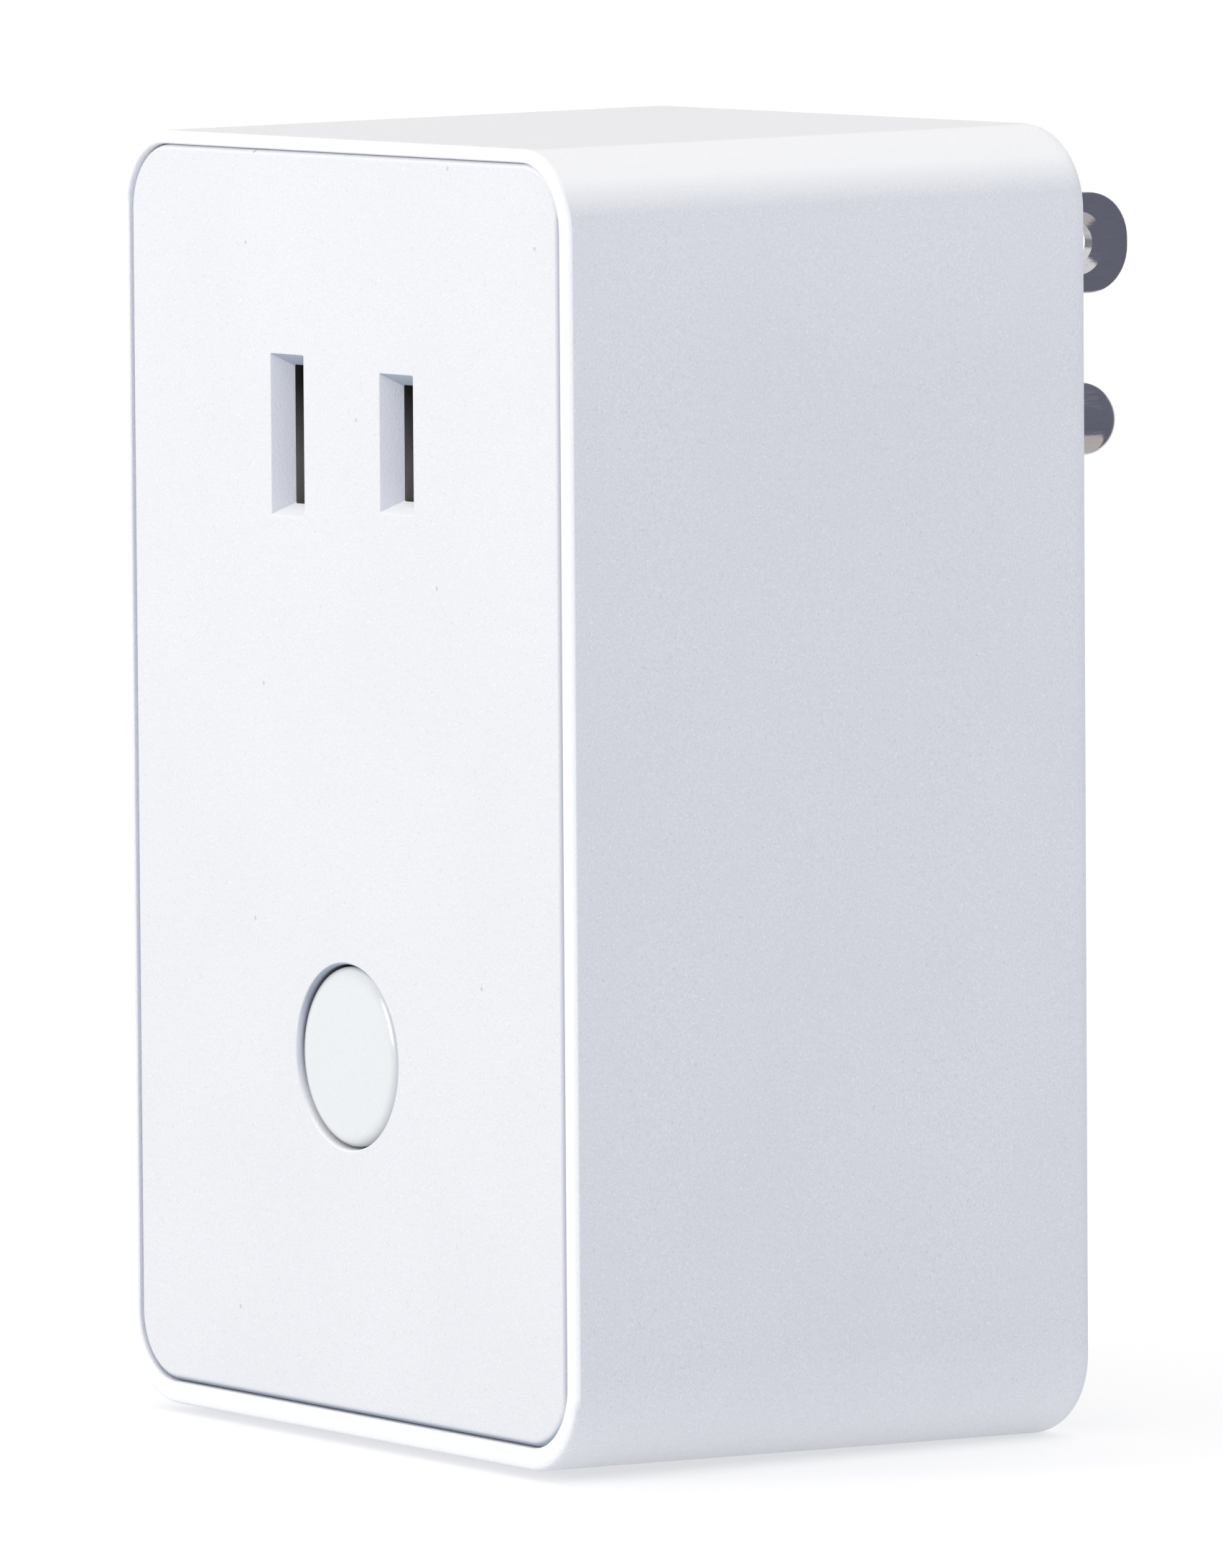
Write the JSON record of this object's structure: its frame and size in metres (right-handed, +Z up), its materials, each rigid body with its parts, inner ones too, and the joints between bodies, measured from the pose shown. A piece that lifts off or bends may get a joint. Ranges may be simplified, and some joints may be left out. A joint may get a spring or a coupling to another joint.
{
  "type": "plug in power meter",
  "caption": "Rounded rectangular plug-in meter with a three-pin plug behind, a switched two-slot outlet and a round push button in front.",
  "frame": {"origin": "middle of the flat back face that meets the wall plate, halfway up the body", "axes": "+Y out of the back face, into the wall; the outlet faces -Y; +Z up; +X to the right when looking at the outlet"},
  "size_m": [0.0524, 0.0593, 0.0832],
  "materials": {
    "housing_white": "fine matte moulded grain",
    "panel_white": "fine matte moulded grain",
    "button_milky": "smooth, slightly translucent",
    "plug_metal": "nickel plated, smooth",
    "contact_brass": "bare sprung brass",
    "dark_insulator": "heat resistant moulding",
    "board_laminate": "green solder resist",
    "radio_laminate": "blue solder resist",
    "relay_plastic": "semi gloss",
    "cream_plastic": "natural nylon",
    "coil_copper": "enamelled copper wire",
    "core_iron": "soft iron, plated",
    "pin_tin": "tinned",
    "ferrite": "dark ferrite",
    "winding_tape": "yellow tape over copper wire",
    "can_sleeve": "dark sleeve on an aluminium can",
    "film_yellow": "cast resin box",
    "varistor_blue": "dipped epoxy",
    "fuse_brown": "moulded cap",
    "chip_black": "moulded package",
    "shunt_alloy": "manganin strip",
    "bus_copper": "bare copper strip",
    "wire_black": "insulated wire",
    "ribbon_grey": "flat cable insulation",
    "spring_steel": "stamped steel",
    "led_lens": "diffused lens",
    "screw_steel": "plated steel",
    "label_film": "blank printed film"
  },
  "bodies": {
    "body": {"housing": "housing_white", "front_panel": "panel_white", "plug_blade_line": "plug_metal", "plug_blade_neutral": "plug_metal", "plug_ground_pin": "plug_metal", "socket_contact_line": "contact_brass", "socket_contact_neutral": "contact_brass", "relay_fixed_contact": "contact_brass", "plug_carrier": "dark_insulator", "socket_block": "dark_insulator", "socket_cover": "dark_insulator", "relay_base": "dark_insulator", "transformer_bobbin": "dark_insulator", "power_board": "board_laminate", "control_board": "board_laminate", "radio_module": "radio_laminate", "relay_case": "relay_plastic", "relay_bobbin": "cream_plastic", "power_board_header": "cream_plastic", "control_board_header": "cream_plastic", "relay_winding": "coil_copper", "relay_core": "core_iron", "relay_yoke": "core_iron", "relay_coil_pin_1": "pin_tin", "relay_coil_pin_2": "pin_tin", "transformer_core": "ferrite", "filter_inductor": "ferrite", "transformer_winding": "winding_tape", "bulk_capacitor": "can_sleeve", "output_capacitor": "can_sleeve", "safety_capacitor": "film_yellow", "varistor": "varistor_blue", "fuse": "fuse_brown", "bridge_rectifier": "chip_black", "supply_chip": "chip_black", "metering_chip": "chip_black", "control_chip": "chip_black", "tact_switch_body": "chip_black", "shunt_resistor": "shunt_alloy", "line_busbar": "bus_copper", "line_wire": "wire_black", "ribbon_cable": "ribbon_grey", "radio_shield": "spring_steel", "tact_switch_cover": "spring_steel", "tact_dome": "spring_steel", "status_led": "led_lens", "housing_screw_1": "screw_steel", "housing_screw_2": "screw_steel", "housing_screw_3": "screw_steel", "housing_screw_4": "screw_steel", "control_board_screw_1": "screw_steel", "control_board_screw_2": "screw_steel", "rating_label": "label_film"},
    "button": {"button_cap": "button_milky"},
    "switch_plunger": {"tact_switch_plunger": "chip_black"},
    "armature": {"relay_armature": "core_iron", "relay_contact_spring": "contact_brass"}
  },
  "joints": [
    {"name": "button_press", "type": "slide", "parent": "body", "child": "button", "axis": [0, 1, 0], "range_m": [0, 0.0005], "stiffness_N_per_m": 1500, "springref_m": -0.0001},
    {"name": "plunger_press", "type": "slide", "parent": "body", "child": "switch_plunger", "axis": [0, 1, 0], "range_m": [0, 0.0005]},
    {"name": "armature_swing", "type": "hinge", "parent": "body", "child": "armature", "pos_m": [0.01235, -0.022, -0.0124], "axis": [-1, 0, 0], "range_deg": [0, 5], "stiffness_Nm_per_rad": 0.02, "springref_deg": -5.73}
  ],
  "couplings": [
    {"joint": "plunger_press", "follows": "button_press", "ratio": 1}
  ]
}
